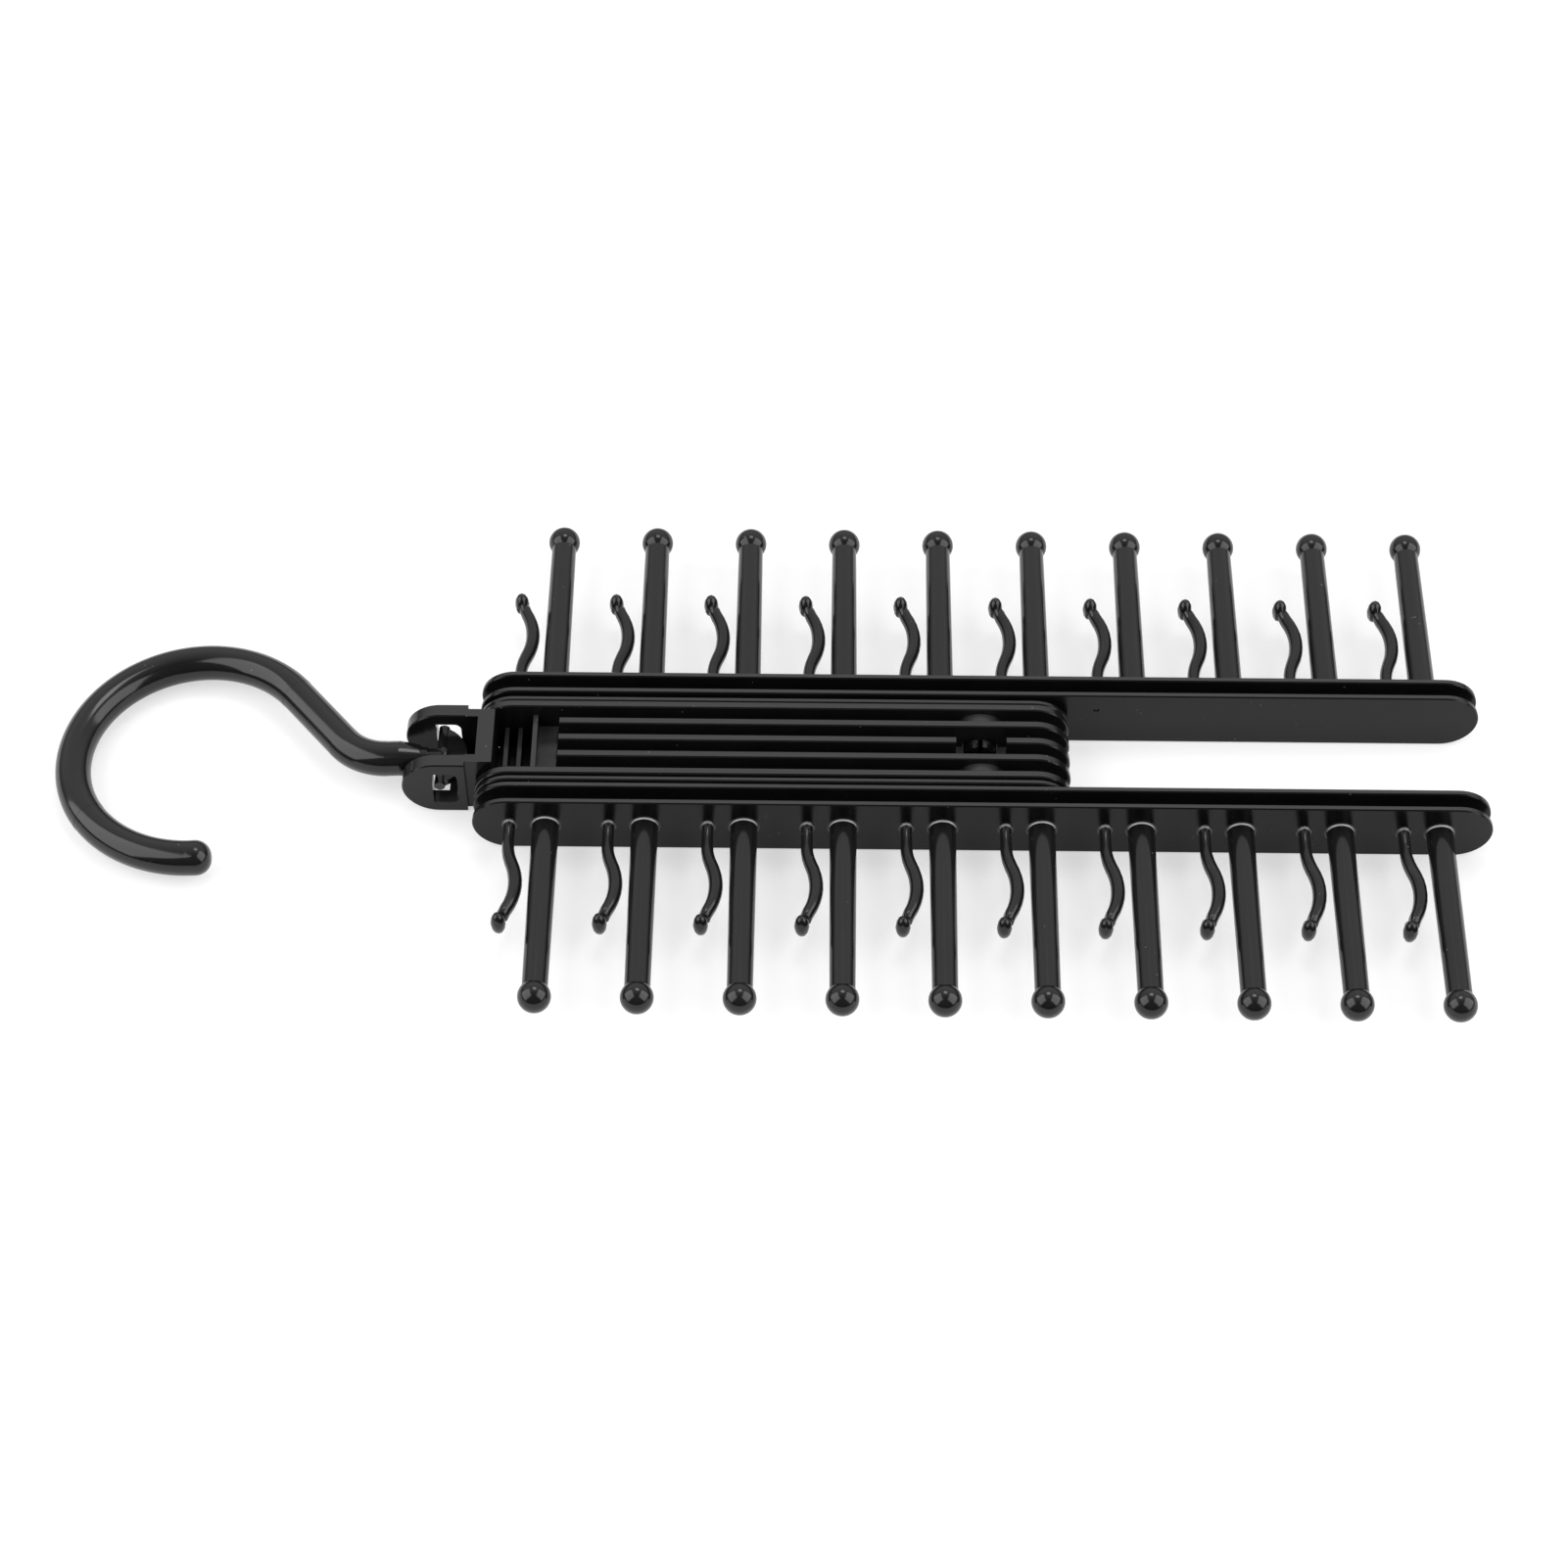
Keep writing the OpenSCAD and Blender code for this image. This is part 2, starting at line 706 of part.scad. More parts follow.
module shank() {
    shank_piece(0, shank_steps[2], collar_d[1], collar_d[1]);
    shank_piece(shank_steps[2], shank_steps[1], collar_d[0], collar_d[0]);
    shank_piece(shank_steps[1], shank_steps[0], shank_end_d, rod_d);
    shank_piece(shank_steps[0], neck_start() + lap, rod_d - seam, rod_d - seam);
}

// Length of the slanted run and start of the bend, so that the loop sits where it is set
function slant_l() =
    (loop_y - neck_r * (1 - cos(neck_turn)) + loop_r * cos(neck_turn)) / sin(neck_turn);
function neck_start() =
    loop_x - (loop_r + neck_r) * sin(neck_turn) - slant_l() * cos(neck_turn);

module neck_and_loop() {
    translate([-neck_start(), neck_r, 0])
        rotate([0, 0, -90 - neck_turn])
            rotate_extrude(angle = neck_turn) translate([neck_r, 0]) circle(d = rod_d);
    translate([-neck_start() - neck_r * sin(neck_turn), neck_r * (1 - cos(neck_turn)), 0])
        rotate([0, 0, -neck_turn])
            translate([lap, 0, 0])
                rotate([0, -90, 0])
                    cylinder(h = slant_l() + 2 * lap, d = rod_d - seam);
    translate([-loop_x, loop_y, 0]) {
        rotate([0, 0, 90 - neck_turn])
            rotate_extrude(angle = 270 + neck_turn - tip_angle - end_turn())
                translate([loop_r, 0]) circle(d = rod_d);
        rotate([0, 0, -tip_angle - end_turn()])
            translate([loop_r - end_r, 0, 0])
                last_run();
    }
}

// The flatter last run of the loop, with the rod's round end
function end_turn() = end_l / end_r * 180 / PI;
module last_run() {
    lap_turn = lap / end_r * 180 / PI;
    rotate([0, 0, -lap_turn])
        rotate_extrude(angle = end_turn() + lap_turn)
            translate([end_r, 0]) circle(d = rod_d - seam);
    rotate([0, 0, end_turn()])
        translate([end_r, 0, 0])
            rotate([-90, 0, 0])
                rod_tip(rod_d - 2 * seam);
}

// The rod's end has a round edge
module rod_tip(d) {
    rotate_extrude()
        polygon(concat(
            [[0, -lap], [d / 2, -lap]],
            [for (k = [0 : tip_steps])
                let (a = 90 * k / tip_steps)
                [d / 2 - tip_round * (1 - cos(a)), tip_round * sin(a)]],
            [[0, tip_round]]));
}

stem();
front_side_plate();
back_side_plate();
yoke();
hook();
front_rail();
back_rail();
for (i = [1 : peg_count]) {
    front_peg(i);
    back_peg(i);
    front_clip(i);
    back_clip(i);
}
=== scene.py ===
# %% [markdown]
# # A folding tie hanger, closed, on a white table
#
# The real hanger is made of seven mouldings in glossy black plastic: a hook, a yoke that
# holds the hook's cross pin, a finned stem, two thin side plates, and two rails with ten
# pegs and ten springy clips each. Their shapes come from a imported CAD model, which is
# loaded first and stays where it is. This notebook adds what such a model leaves out: the
# finish of the plastic, soft edges, two small pieces, a table, lamps and a camera.

import math

import bmesh
import bpy
from mathutils import Matrix, Vector


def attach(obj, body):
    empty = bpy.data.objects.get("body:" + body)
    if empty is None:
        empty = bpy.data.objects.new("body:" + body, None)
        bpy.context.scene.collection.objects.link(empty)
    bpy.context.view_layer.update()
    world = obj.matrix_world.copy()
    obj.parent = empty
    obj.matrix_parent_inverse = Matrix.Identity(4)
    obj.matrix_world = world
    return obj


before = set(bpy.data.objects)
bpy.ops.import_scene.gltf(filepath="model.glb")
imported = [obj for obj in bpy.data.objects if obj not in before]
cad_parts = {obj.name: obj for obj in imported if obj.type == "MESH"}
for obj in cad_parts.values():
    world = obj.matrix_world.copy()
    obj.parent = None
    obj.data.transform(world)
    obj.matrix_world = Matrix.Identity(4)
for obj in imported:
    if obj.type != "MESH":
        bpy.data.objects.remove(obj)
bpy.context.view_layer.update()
MM = 0.001

# %% [markdown]
# ## The camera
#
# The photo was taken from in front and well above, through a long lens. A camera could be
# placed by eye, or pointed with a Track To constraint. Here its place, its directions and
# its focal length were fitted to the row of balls and to the edges of the rails. So they
# are plain numbers, and the render can be laid over the photo to compare the two.

# %% Where the camera stands
eye = Vector((13.42, -578.03, 737.66)) * MM
forward = Vector((-0.0097, 0.6165, -0.7873)).normalized()
right = Vector((0.9999, 0.0133, -0.0019))
right = (right - right.dot(forward) * forward).normalized()
up = right.cross(forward)
print("camera: %.0f mm from the middle of the table" % (eye.length / MM))
print("it looks down by %.1f degrees" % math.degrees(math.asin(-forward.z)))

# %% The photo's lens
PHOTO_SIDE_PX = 1601
FOCAL_PX = 3715.43
SENSOR_SIDE = 36
NEAREST, FARTHEST = 0.05, 20
lens = bpy.data.cameras.new("photo_lens")
lens.sensor_width = SENSOR_SIDE
lens.lens = FOCAL_PX / PHOTO_SIDE_PX * lens.sensor_width
lens.clip_start, lens.clip_end = NEAREST, FARTHEST
camera = bpy.data.objects.new("photo_camera", lens)
bpy.context.scene.collection.objects.link(camera)
turn = Matrix((right, up, -forward)).transposed()
camera.matrix_world = Matrix.Translation(eye) @ turn.to_4x4()
bpy.context.scene.camera = camera
print("lens: %.1f mm, for a sensor of %d mm" % (lens.lens, SENSOR_SIDE))

# %% [markdown]
# ## What black plastic looks like
#
# Black moulded plastic is hardly a colour at all: nearly everything the eye sees on it is
# reflection. One dark colour with one roughness would look like a drawing. A picture of
# plastic, wrapped round the pieces, would blur from close by and show where it repeats.
# Shader nodes draw the finish at any distance, so it is made of them. Each of the next
# steps adds one thing that breaks up a reflection on the real hanger. All patterns start
# from the object's own coordinates, in metres, so they have the same size on every piece
# and stay in place when a joint turns.


# %% A helper that adds a node
def add(tree, kind, **settings):
    """Add a node, and set its inputs or its options by their names."""
    node = tree.nodes.new(kind)
    for name, value in settings.items():
        if name in node.inputs:
            node.inputs[name].default_value = value
        else:
            setattr(node, name, value)
    return node


print("helper ready: add")


# %% Helpers that reckon with numbers
def reckon(tree, operation, *terms):
    """A Math node. Each term is a link from another node, or a plain number."""
    node = add(tree, "ShaderNodeMath", operation=operation)
    for term, socket in zip(terms, node.inputs):
        if isinstance(term, bpy.types.NodeSocket):
            tree.links.new(term, socket)
        else:
            socket.default_value = term
    return node.outputs["Value"]


def spread(tree, value, low, high, to_low=0.0, to_high=1.0):
    """A Map Range node: low becomes to_low, high becomes to_high."""
    node = add(tree, "ShaderNodeMapRange")
    ends = {"From Min": low, "From Max": high, "To Min": to_low, "To Max": to_high}
    for name, number in ends.items():
        node.inputs[name].default_value = number
    tree.links.new(value, node.inputs["Value"])
    return node.outputs["Result"]


def thin_line(tree, value, place, half_width):
    """1 where the value is just at the place, and 0 from half a line's width away."""
    away = reckon(tree, "ABSOLUTE", reckon(tree, "SUBTRACT", value, place))
    return spread(tree, away, half_width, 0.0)


print("helpers ready: reckon, spread, thin_line")


# %% Helpers for patterns and colours
def soft_noise(tree, where, per_metre, detail):
    """A cloudy pattern, with so many clouds to the metre."""
    clouds = add(tree, "ShaderNodeTexNoise", Scale=per_metre, Detail=detail)
    tree.links.new(where, clouds.inputs["Vector"])
    return clouds.outputs["Fac"]


def axes_of(tree, vector):
    """Take a vector apart, so that X, Y and Z can be used alone."""
    parts = add(tree, "ShaderNodeSeparateXYZ")
    tree.links.new(vector, parts.inputs["Vector"])
    return parts.outputs


def looking_up(tree, low, high):
    """0 on faces whose normal rises by less than low, 1 from high on."""
    normal = add(tree, "ShaderNodeTexCoord").outputs["Normal"]
    return spread(tree, axes_of(tree, normal)["Z"], low, high)


def laid_over(tree, below, colour, share):
    """A Mix node: a colour that covers what is below it as far as share says."""
    mix = add(tree, "ShaderNodeMix", data_type="RGBA")
    mix.inputs["B"].default_value = (*colour, 1)
    tree.links.new(share, mix.inputs["Factor"])
    tree.links.new(below, mix.inputs["A"])
    return mix.outputs["Result"]


print("helpers ready: soft_noise, axes_of, looking_up, laid_over")

# %% [markdown]
# ### The black itself
#
# Pigment is never stirred in quite evenly, so the black of a moulding has patches that
# are a little deeper or paler, about a centimetre across. They could be painted on the
# mesh's corners, but a flat plate has hardly any corners. A noise pattern with a colour
# ramp needs none. Both ends of the ramp are a touch blue, as black plastic is in daylight.

# %% Cloudy black
PATCHES_PER_METRE = 90.0
PATCH_DETAIL = 3.0
DEEP_FROM, PALE_FROM = 0.35, 0.7
DEEP_SHARE = (0.85, 0.85, 0.9)
PALE_SHARE = (1.15, 1.15, 1.2)


def cloudy_black(tree, where, shade):
    """Black with patches of a slightly paler black."""
    blacks = add(tree, "ShaderNodeValToRGB")
    deep, pale = blacks.color_ramp.elements
    deep.position, pale.position = DEEP_FROM, PALE_FROM
    deep.color = (*(shade * share for share in DEEP_SHARE), 1)
    pale.color = (*(shade * share for share in PALE_SHARE), 1)
    patches = soft_noise(tree, where, PATCHES_PER_METRE, PATCH_DETAIL)
    tree.links.new(patches, blacks.inputs["Fac"])
    return blacks.outputs["Color"]


print("patches of black: about %.0f mm across" % (1000 / PATCHES_PER_METRE))

# %% [markdown]
# ### Painted sheen on the level faces
#
# The tops of the plates and fins are paler than their walls, since they mirror the pale
# room behind. That paleness is painted into the colour here: a painted sheen, a paler grey
# on the faces that look up. A second material on the top faces would end in a hard line
# at the rounded edge. The normal of the surface tells how far a point looks up, so it
# fades the painted sheen in smoothly, also on pieces that have no edge there.

# %% Painted sheen
FILM_FROM, PAINTED_SHEEN_FULL = 0.8, 1.0


def level_painted_sheen(tree, black, painted_sheen):
    """A painted sheen: a paler grey on the faces that look up, in place of their reflection.
    """
    return laid_over(tree, black, (painted_sheen, painted_sheen, painted_sheen), looking_up(tree, FILM_FROM, PAINTED_SHEEN_FULL))


print("film: from %.0f degrees off level" % math.degrees(math.acos(FILM_FROM)))

# %% [markdown]
# ### Painted highlight on the feet
#
# Pegs and clips grow out of the rail's outer plate, and on top of each foot a thin bright
# crescent shows, where the rounded foot mirrors the lamp above. It is painted into the
# colour here as a pale line: a painted highlight. A ring of its own could be laid round
# each foot, forty in all. But all feet stand at one distance from the hanger's middle. So
# a line at that distance does for all of them, faded out on the sides by the same normal
# as the painted sheen, so that it shows only on top, where the light falls.

# %% Painted foot highlight
FOOT_LINE = 21.76 * MM
FOOT_LINE_HALF = 0.3 * MM
FOOT_FROM, FOOT_FULL = 0.1, 0.5


def painted_foot_highlight(tree, where, black, highlight_grey):
    """A painted highlight: a thin pale line on top of each foot, where the light catches it.
    """
    sideways = reckon(tree, "ABSOLUTE", axes_of(tree, where)["Y"])
    ring = thin_line(tree, sideways, FOOT_LINE, FOOT_LINE_HALF)
    mark = reckon(tree, "MULTIPLY", ring, looking_up(tree, FOOT_FROM, FOOT_FULL))
    return laid_over(tree, black, (highlight_grey, highlight_grey, highlight_grey), mark)


print("painted_highlight line: %.2f mm from the middle, each way" % (FOOT_LINE / MM))

# %% [markdown]
# ### Specks of dust
#
# Gloss black shows every speck of dust, and even a clean piece has a few. A particle
# system could scatter real grains, but thousands of objects for something so small would
# be slow. A pattern of cells gives each cell one dot instead, and a slow noise keeps only
# some of them, so that the dust lies in loose groups and not in an even rain.

# %% Dust
DUST_GREY = (0.1, 0.1, 0.095)
SPECKS_PER_METRE = 420.0
SPECK_CORE = 0.55
GROUPS_PER_METRE = 160.0
GROUP_FROM, GROUP_FULL = 0.6, 0.68


def dust_specks(tree, where, size):
    """Small round specks, kept only where a slow noise is high."""
    cells = add(tree, "ShaderNodeTexVoronoi", Scale=SPECKS_PER_METRE, Randomness=1.0)
    tree.links.new(where, cells.inputs["Vector"])
    speck = spread(tree, cells.outputs["Distance"], size, size * SPECK_CORE)
    group = soft_noise(tree, where, GROUPS_PER_METRE, detail=1.0)
    return reckon(tree, "MULTIPLY", speck, spread(tree, group, GROUP_FROM, GROUP_FULL))


print("dust: one speck at most in each %.1f mm" % (1000 / SPECKS_PER_METRE))

# %% [markdown]
# ### Gloss
#
# The steel of a mould is polished by hand, so the plastic's gloss changes a little from
# place to place. One roughness for a whole piece gives highlights that are too perfect.
# A slow noise moves the roughness between a polished and a duller patch.

# %% Wandering gloss
GLOSS_PER_METRE = 45.0
GLOSS_DETAIL = 4.0
POLISHED, DULLER = -0.04, 0.06


def wandering_gloss(tree, where, gloss):
    """Roughness that changes slowly from a polished to a duller patch."""
    sheen = soft_noise(tree, where, GLOSS_PER_METRE, GLOSS_DETAIL)
    return spread(tree, sheen, 0.0, 1.0, gloss + POLISHED, gloss + DULLER)


print("roughness: wanders by %.2f" % (DULLER - POLISHED))

# %% [markdown]
# ### The moulded skin
#
# A thick moulding shrinks as it cools and its faces sink very slightly, which bends long
# reflections. Its surface also has a grain too fine to see, which softens them. And
# round the hook, pegs and clips runs a hair-thin ridge, where the halves of the mould
# met. All three are a few hundredths of a millimetre deep or far less. Modelled as
# geometry they would need millions of faces. Bump nodes only tilt the light's normal,
# which is all that shows at this depth, and each one builds on the one before.


# %% A helper for bumps
def bumped(tree, height, strength, depth, skin=None):
    """A Bump node, on top of the skin that earlier bumps have made."""
    bump = add(tree, "ShaderNodeBump", Strength=strength, Distance=depth)
    tree.links.new(height, bump.inputs["Height"])
    if skin is not None:
        tree.links.new(skin, bump.inputs["Normal"])
    return bump.outputs["Normal"]


print("helper ready: bumped")

# %% The mould's seam
SEAM_HALF = 0.1 * MM
SEAM_RISE = 0.03 * MM
SEAM_STRENGTH = 0.5


def mould_seam(tree, where, seam, skin):
    """A low ridge in the plane where the mould's halves met."""
    across, offset = seam
    height = add(tree, "ShaderNodeVectorMath", operation="DOT_PRODUCT")
    height.inputs[1].default_value = across
    tree.links.new(where, height.inputs[0])
    ridge = thin_line(tree, height.outputs["Value"], offset, SEAM_HALF)
    return bumped(tree, ridge, SEAM_STRENGTH, SEAM_RISE, skin)


print("mould seam: %.1f mm wide" % (2 * SEAM_HALF / MM))

# %% Skin
SINKS_PER_METRE = 60.0
SINK_DEPTH = 0.6 * MM
GRAINS_PER_METRE = 2600.0
GRAIN_DEPTH = 0.05 * MM


def moulded_skin(tree, where, ripple, grain, seam):
    """Sink marks, then a fine grain, then the seam if the piece has one."""
    sinks = soft_noise(tree, where, SINKS_PER_METRE, detail=1.0)
    skin = bumped(tree, sinks, ripple, SINK_DEPTH)
    grains = soft_noise(tree, where, GRAINS_PER_METRE, detail=2.0)
    skin = bumped(tree, grains, grain, GRAIN_DEPTH, skin)
    return skin if seam is None else mould_seam(tree, where, seam, skin)


print("sink marks: about %.0f mm across" % (1000 / SINKS_PER_METRE))
print("grain: about %.1f mm across" % (1000 / GRAINS_PER_METRE))

# %% [markdown]
# ### One recipe for all mouldings
#
# The seven mouldings are of one plastic, but they don't look quite alike: the flat ones
# are duller than the round ones. Six materials built one by one would drift apart. One
# recipe with a few amounts keeps them one family. The shine is the same all over a
# piece, so it is typed into the shader's own socket and not linked.


# %% Glossy black plastic
def moulded_black(name, shade, painted_sheen, shine, gloss, grain, ripple, dust, seam=None, foot_highlight=None):
    """Black plastic in the amounts given. A seam is a plane: its direction and its place."""
    finish = bpy.data.materials.new(name)
    finish.use_nodes = True
    tree = finish.node_tree
    shader = tree.nodes["Principled BSDF"]
    shader.inputs["Specular IOR Level"].default_value = shine
    where = add(tree, "ShaderNodeTexCoord").outputs["Object"]
    # Painted sheen: the level faces get a paler grey for the light they mirror.
    black = level_painted_sheen(tree, cloudy_black(tree, where, shade), painted_sheen)
    # Painted highlight: pegs and clips get a pale line on top of each foot.
    if foot_highlight is not None:
        black = painted_foot_highlight(tree, where, black, foot_highlight)
    dusted = laid_over(tree, black, DUST_GREY, dust_specks(tree, where, dust))
    tree.links.new(dusted, shader.inputs["Base Color"])
    tree.links.new(wandering_gloss(tree, where, gloss), shader.inputs["Roughness"])
    tree.links.new(moulded_skin(tree, where, ripple, grain, seam), shader.inputs["Normal"])
    print("finish:", name, "from", len(tree.nodes), "nodes")
    return finish


# %% [markdown]
# The mould of a flat piece opens along its edges, where no seam shows. Pegs and clips
# have their seam at half height, which is a level plane. The hook droops a little from
# its cross pin until its loop rests on the table, and its seam leans with it.

# %% Where the seams run
HALF_HEIGHT = 9.2 * MM
level_seam = ((0, 0, 1), HALF_HEIGHT)
droop = math.radians(2.794)
cross_pin = Vector((-83.08, 0, 9.2)) * MM
hook_across = Vector((-math.sin(droop), 0, math.cos(droop)))
hook_seam = (hook_across, hook_across.dot(cross_pin))
print("level seam: %.1f mm above the table" % (HALF_HEIGHT / MM))
print("hook: droops by %.1f degrees" % math.degrees(droop))

# %% [markdown]
# Now the amounts. The shade is how pale the black itself is. A paler grey is painted on
# level faces as a painted sheen, and on top of each foot of pegs and clips as a painted
# highlight. The shine says how strongly the plastic mirrors, and a smaller gloss makes the
# mirror sharper. Grain and ripple say how strong the small and the large bumps are, dust
# how big the specks are. They were set by laying the render beside the photo and comparing
# the greys of the same places: a wall, a fin's top, a ball, the hook.

# %% Finishes of the flat mouldings
# In each finish, the grey given for the level faces is a painted sheen.
stem_black = moulded_black(
    "stem_black",
    shade=0.008, painted_sheen=0.036, shine=0.28, gloss=0.17, grain=0.10, ripple=0.12, dust=0.13,
)
yoke_black = moulded_black(
    "yoke_black",
    shade=0.007, painted_sheen=0.030, shine=0.26, gloss=0.17, grain=0.10, ripple=0.12, dust=0.12,
)
rail_black = moulded_black(
    "rail_black",
    shade=0.006, painted_sheen=0.042, shine=0.22, gloss=0.17, grain=0.10, ripple=0.12, dust=0.13,
)
print("finishes of the flat mouldings made")

# %% Finishes of the round mouldings
hook_black = moulded_black(
    "hook_black",
    shade=0.008, painted_sheen=0.008, shine=0.42, gloss=0.13, grain=0.05, ripple=0.12, dust=0.12,
    seam=hook_seam,
)
# The grey given for the feet is a painted highlight on top of each foot.
peg_black = moulded_black(
    "peg_black",
    shade=0.008, painted_sheen=0.008, shine=0.42, gloss=0.14, grain=0.05, ripple=0.14, dust=0.12,
    seam=level_seam, foot_highlight=0.55,
)
clip_black = moulded_black(
    "clip_black",
    shade=0.008, painted_sheen=0.008, shine=0.42, gloss=0.15, grain=0.05, ripple=0.12, dust=0.12,
    seam=level_seam, foot_highlight=0.35,
)
print("finishes of the round mouldings made")

# %% [markdown]
# A material sits in a slot of the mesh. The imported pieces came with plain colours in
# theirs, so each slot is cleared and filled again. The names of the pieces say what they
# are, such as front_peg_3, and one word of the name picks the finish.

# %% Give every moulding its finish
FINISH_OF = {
    "hook": hook_black,
    "yoke": yoke_black,
    "stem": stem_black,
    "side_plate": stem_black,
    "rail": rail_black,
    "peg": peg_black,
    "clip": clip_black,
}
for node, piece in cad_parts.items():
    word = next(word for word in FINISH_OF if word in node)
    piece.data.materials.clear()
    piece.data.materials.append(FINISH_OF[word])
print("finishes given to", len(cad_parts), "nodes")

# %% [markdown]
# ## Soft edges
#
# No edge of a moulding is sharp: the steel of the mould is rounded a little, and each
# edge catches a thin line of light. The edges could be rounded in the CAD model, but
# that makes its solids heavy. A Bevel modifier rounds them on the way to the render and
# leaves the mesh as it is. It skips edges below a certain angle, so that the pegs stay
# smooth, and its hardened normals keep the flat faces flat.

# %% Round the edges
EDGE = 0.22 * MM
EDGE_STEPS = 2
EDGE_FROM = math.radians(35)
for node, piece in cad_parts.items():
    if "_clip_" not in node:
        soft = piece.modifiers.new("moulded_edge", "BEVEL")
        soft.width = EDGE
        soft.segments = EDGE_STEPS
        soft.limit_method = "ANGLE"
        soft.angle_limit = EDGE_FROM
        soft.harden_normals = True
print("edges rounded to %.2f mm" % (EDGE / MM))

# %% [markdown]
# ## Smooth clips
#
# A real clip is one flowing S of rounded section. It comes from the CAD model as rings of
# small flat facets, and they show in its reflections. More and smaller facets would hide
# them at a price. Smooth shading hides them for nothing, but the model's mesh isn't to be
# changed. To leave the model's mesh as it is, a small group of geometry nodes, hung on
# each clip as a modifier, shades its faces smooth and keeps only those edges hard that
# are really sharp. A weld before it joins the facets' corners, since smoothing can't pass
# a gap.

# %% A node group that smooths
HARD_FROM = math.radians(50)
smooth = bpy.data.node_groups.new("clip_smoothing", "GeometryNodeTree")
for end in ("INPUT", "OUTPUT"):
    smooth.interface.new_socket("Geometry", in_out=end, socket_type="NodeSocketGeometry")
clip_in = add(smooth, "NodeGroupInput")
clip_out = add(smooth, "NodeGroupOutput")
faces = add(smooth, "GeometryNodeSetShadeSmooth", domain="FACE")
edges = add(smooth, "GeometryNodeSetShadeSmooth", domain="EDGE")
angle = add(smooth, "GeometryNodeInputMeshEdgeAngle").outputs["Unsigned Angle"]
blunt = reckon(smooth, "LESS_THAN", angle, HARD_FROM)
smooth.links.new(clip_in.outputs[0], faces.inputs["Geometry"])
smooth.links.new(faces.outputs["Geometry"], edges.inputs["Geometry"])
smooth.links.new(blunt, edges.inputs["Shade Smooth"])
smooth.links.new(edges.outputs["Geometry"], clip_out.inputs[0])
print("edges stay hard from %.0f degrees on" % math.degrees(HARD_FROM))

# %% Smooth the clips
WELD = 0.001 * MM
clips = [piece for node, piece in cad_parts.items() if "_clip_" in node]
for piece in clips:
    piece.modifiers.new("weld_rings", "WELD").merge_threshold = WELD
    piece.modifiers.new("clip_smoothing", "NODES").node_group = smooth
print("smoothed", len(clips), "clips")

# %% [markdown]
# ## Two small pieces
#
# Both pieces below are built as a bmesh, an editable mesh in memory. An operator would
# make an object at once, but in a bmesh the shape is finished first, and then it becomes
# an object in one go. Each piece rides on a body of the hanger, so it moves when a joint
# turns, and takes its plastic from one of the finishes above.


# %% From a bmesh to a piece
def as_piece(name, form, finish):
    """Make the object for a finished shape, with its one material."""
    mesh = bpy.data.meshes.new(name)
    form.to_mesh(mesh)
    form.free()
    mesh.materials.append(finish)
    piece = bpy.data.objects.new(name, mesh)
    bpy.context.scene.collection.objects.link(piece)
    print("piece:", name, "with", len(mesh.polygons), "faces")
    return piece


print("helper ready: as_piece")

# %% [markdown]
# ### The pocket's apron
#
# At the hook's end of the stem the yoke sits in a pocket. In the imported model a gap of
# 0.7 mm is left between the yoke's crossbar and the pocket's floor, and the white table
# shines up through it, which it doesn't in the photo. The apron closes it: a strip as
# wide as the pocket, made by stretching a cube of side 1 between two corners. A bevel
# with a profile of 0.5 would round its edges. With a profile of 0 it steps them back
# instead, which is as good here, since only a dark sliver of the strip is ever seen.

# %% Apron
APRON_LOW = Vector((-69.62, -9.75, 0.95)) * MM
APRON_HIGH = Vector((-68.66, 9.75, 1.65)) * MM
APRON_STEP = 0.15 * MM
strip = bmesh.new()
bmesh.ops.create_cube(strip, size=1)
for corner in strip.verts:
    span = zip(APRON_LOW, APRON_HIGH, corner.co)
    corner.co = [(high + low) / 2 + (high - low) * half for low, high, half in span]
bmesh.ops.bevel(
    strip, geom=strip.edges[:], offset=APRON_STEP, segments=2, profile=0.0, affect="EDGES"
)
pocket_apron = as_piece("pocket_apron", strip, stem_black)
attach(pocket_apron, "stem")
print("apron: %.2f mm from front to back" % ((APRON_HIGH.y - APRON_LOW.y) / MM))

# %% [markdown]
# ### The hook's nose
#
# The rod of the hook ends in a full round nose, which in the photo reaches a little
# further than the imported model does. A sphere at the end would leave a crease where it
# meets the rod. So the nose is turned like a chess piece: a half outline is spun round
# the rod's own axis. It begins inside the rod, a hair thinner than it, comes out to the
# rod's own radius where the rod's last arc ends, and closes in a quarter round. The
# hidden part bends with that arc, so that it never breaks through the surface.

# %% The nose's half outline
ROD_R = 4.52
NOSE_RIM = 4.05
NOSE_SLEEVE = 1.0
NOSE_STEPS = 12
inside_rod = [(-2.4, 4.0), (-2.3, 4.4), (-1.8, 4.46), (-1.2, 4.485), (-0.6, 4.505)]
sleeve = [(0.0, ROD_R), (NOSE_SLEEVE / 2, ROD_R), (NOSE_SLEEVE, ROD_R)]
outline = inside_rod + sleeve
for step in range(1, NOSE_STEPS + 1):
    bend = math.radians(90 * step / NOSE_STEPS)
    along = NOSE_SLEEVE + NOSE_RIM * math.sin(bend)
    outline.append((along, ROD_R - NOSE_RIM * (1 - math.cos(bend))))
print("nose outline:", len(outline), "points, %.2f mm past the last arc" % outline[-1][0])

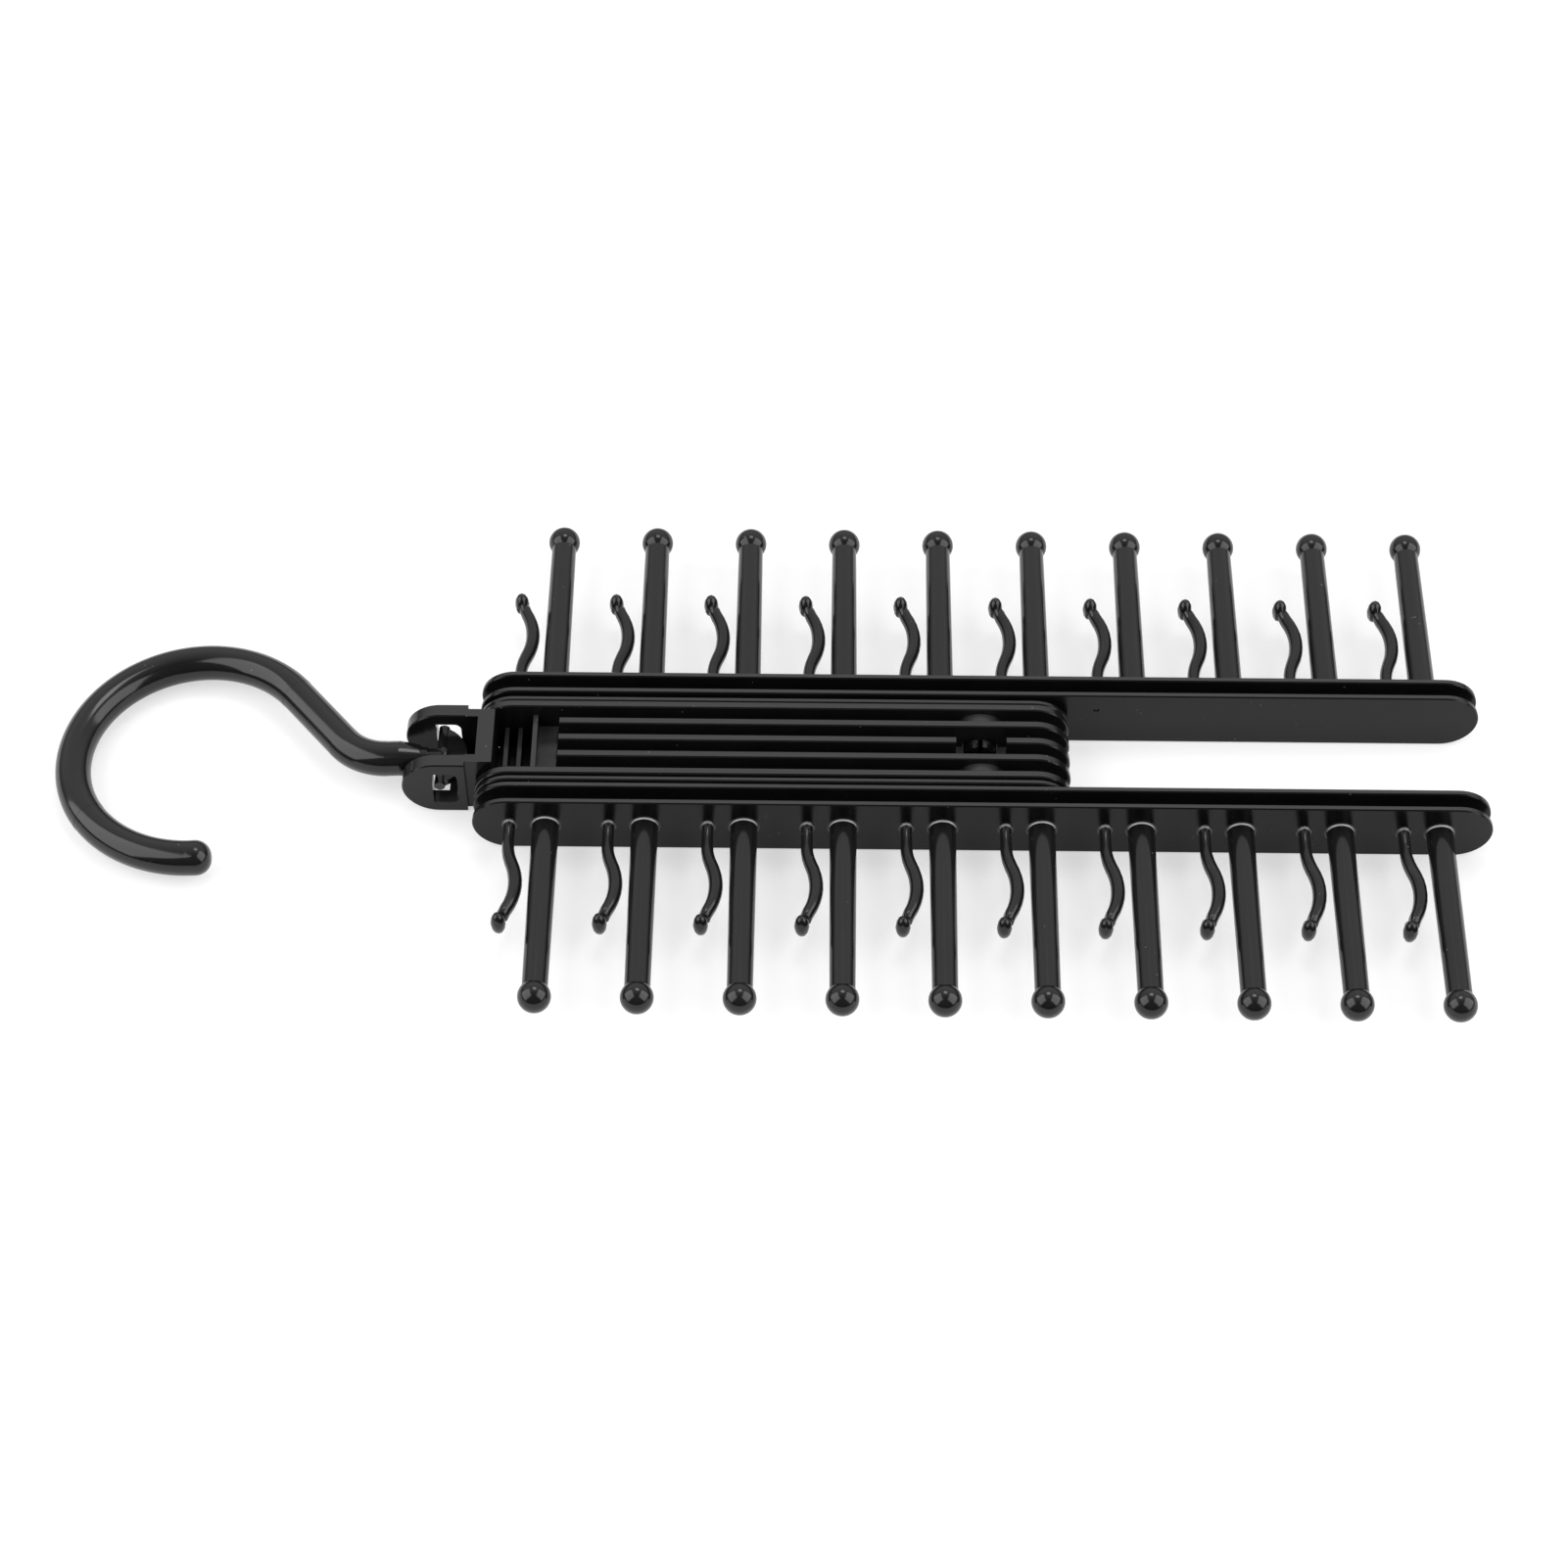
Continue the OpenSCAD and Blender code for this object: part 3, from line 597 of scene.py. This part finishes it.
# %% The nose's rings
NOSE_SIDES = 64
LAST_RUN_R = 33.7
skyward = Vector((0, 0, 1))
nose_base = Vector((-61.245, -30.622, 0))
nose_way = Vector((0.99966, 0.02609, 0))
across = nose_way.cross(skyward)
lean = Matrix.Rotation(-droop, 4, "Y")
nose = bmesh.new()
rings = []
for along, radius in outline:
    follow = -across * min(along, 0) ** 2 / (2 * LAST_RUN_R)
    middle = nose_base + nose_way * along + follow
    ring = []
    for side in range(NOSE_SIDES):
        spin = 2 * math.pi * side / NOSE_SIDES
        out = across * math.cos(spin) + skyward * math.sin(spin)
        ring.append(nose.verts.new(lean @ ((middle + out * radius) * MM) + cross_pin))
    rings.append(ring)
print("nose:", len(rings), "rings of", NOSE_SIDES, "corners")

# %% The nose's skin
for one, two in zip(rings, rings[1:]):
    for side in range(NOSE_SIDES):
        after = (side + 1) % NOSE_SIDES
        nose.faces.new((one[side], one[after], two[after], two[side]))
nose.faces.new(rings[-1])
nose.faces.new(rings[0])
bmesh.ops.recalc_face_normals(nose, faces=nose.faces[:])
for face in nose.faces:
    face.smooth = True
hook_nose = as_piece("hook_nose", nose, hook_black)
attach(hook_nose, "hook")
print("nose closed and riding on the hook")

# %% [markdown]
# ## The table
#
# The photo's ground is pure white, with hardly a shadow. More light would get there too,
# but it would also turn the black plastic grey. A white emission alone would swallow the
# shadow. So the table is grey paper with a soft glow added, and the glow is only there
# for rays that come from the camera or by way of a mirror or clear plastic. The lamps
# light the hanger as before, the ground reaches white, and the shadow under the pegs
# stays.

# %% Lay the table
TABLE_SIDE = 60
TABLE_DROP = 0.2 * MM
bpy.ops.mesh.primitive_plane_add(size=TABLE_SIDE, location=(0, 0, -TABLE_DROP))
table = bpy.context.object
table.name = "white_table"
print("table: %d m wide, %.1f mm under the hanger" % (TABLE_SIDE, TABLE_DROP / MM))

# %% White paper
PAPER_GREY = 0.5
PAPER_GLOW = 0.55
PAPER_DULLNESS = 0.9
paper = bpy.data.materials.new("white_paper")
paper.use_nodes = True
tree = paper.node_tree
sheet = tree.nodes["Principled BSDF"]
sheet.inputs["Base Color"].default_value = (PAPER_GREY, PAPER_GREY, PAPER_GREY, 1)
sheet.inputs["Roughness"].default_value = PAPER_DULLNESS
sheet.inputs["Emission Color"].default_value = (1, 1, 1, 1)
rays = add(tree, "ShaderNodeLightPath").outputs
seen = reckon(tree, "MAXIMUM", rays["Is Camera Ray"], rays["Is Glossy Ray"])
seen = reckon(tree, "MAXIMUM", seen, rays["Is Transmission Ray"])
glow = reckon(tree, "MULTIPLY", seen, PAPER_GLOW)
tree.links.new(glow, sheet.inputs["Emission Strength"])
table.data.materials.append(paper)
print("paper: grey %.2f with a glow of %.2f" % (PAPER_GREY, PAPER_GLOW))

# %% [markdown]
# ## The room
#
# The balls at the ends of the pegs are little mirrors, and they show how the hanger was
# lit. Behind it is a pale wall, in front a dark gap where the camera stands, and low
# down the room is dimmer than high up. Walls could be built for the balls to mirror. The
# world does it with no mesh: its direction tells front from back and low from high, and
# both together set how bright it is.

# %% Pale behind, dark in front
BACK_FROM, BACK_FULL = -0.35, 0.55
FRONT_LIGHT, BACK_LIGHT = 0.14, 0.86
RISE_FROM, RISE_FULL = 0.02, 0.45
LOW_SHARE, HIGH_SHARE = 0.25, 1.0
world = bpy.data.worlds.new("photo_room")
bpy.context.scene.world = world
world.use_nodes = True
tree = world.node_tree
way = axes_of(tree, add(tree, "ShaderNodeTexCoord").outputs["Generated"])
behind = spread(tree, way["Y"], BACK_FROM, BACK_FULL, FRONT_LIGHT, BACK_LIGHT)
rise = spread(tree, way["Z"], RISE_FROM, RISE_FULL, LOW_SHARE, HIGH_SHARE)
room = tree.nodes["Background"]
room.inputs["Color"].default_value = (1, 1, 1, 1)
tree.links.new(reckon(tree, "MULTIPLY", behind, rise), room.inputs["Strength"])
print("room: %.2f in front, %.2f behind" % (FRONT_LIGHT, BACK_LIGHT))

# %% [markdown]
# ## The lamps
#
# Each ball also mirrors two big bright squares, one on its left and one on its right,
# and a small one on top: two soft boxes and a lamp overhead. Small lamps would give hard
# sparks in place of squares. An area lamp has a size, so it shows as a square in the
# plastic and throws a soft shadow, as the real box does. Each is turned to look at the
# middle of the table.


# %% A helper for soft boxes
def softbox(name, place, size, power):
    """A rectangular lamp at a place, turned to the middle of the table."""
    lamp = bpy.data.lights.new(name, "AREA")
    lamp.shape = "RECTANGLE"
    lamp.size, lamp.size_y = size
    lamp.energy = power
    holder = bpy.data.objects.new(name, lamp)
    bpy.context.scene.collection.objects.link(holder)
    holder.location = place
    holder.rotation_euler = (-Vector(place)).to_track_quat("-Z", "Y").to_euler()
    print("lamp: %s, %.1f W" % (name, power))


print("helper ready: softbox")

# %% Set the lamps
BOX_OUT, BOX_BACK, BOX_UP = 0.925, -0.248, 0.722
BOX_SIZE, BOX_POWER = (1.2, 1.25), 12.4
softbox("left_box", (-BOX_OUT, BOX_BACK, BOX_UP), BOX_SIZE, BOX_POWER)
softbox("right_box", (BOX_OUT, BOX_BACK, BOX_UP), BOX_SIZE, BOX_POWER)
softbox("overhead_lamp", place=(0.05, 0.36, 1.12), size=(0.42, 0.32), power=2.0)
print("lamps set")

# %% [markdown]
# ## The end: colours as they are
#
# Colours are shown as they are. A view that copies photographic film would lift the
# blacks and dull the white ground.

# %% Show colours as they are
view = bpy.context.scene.view_settings
view.view_transform = "Standard"
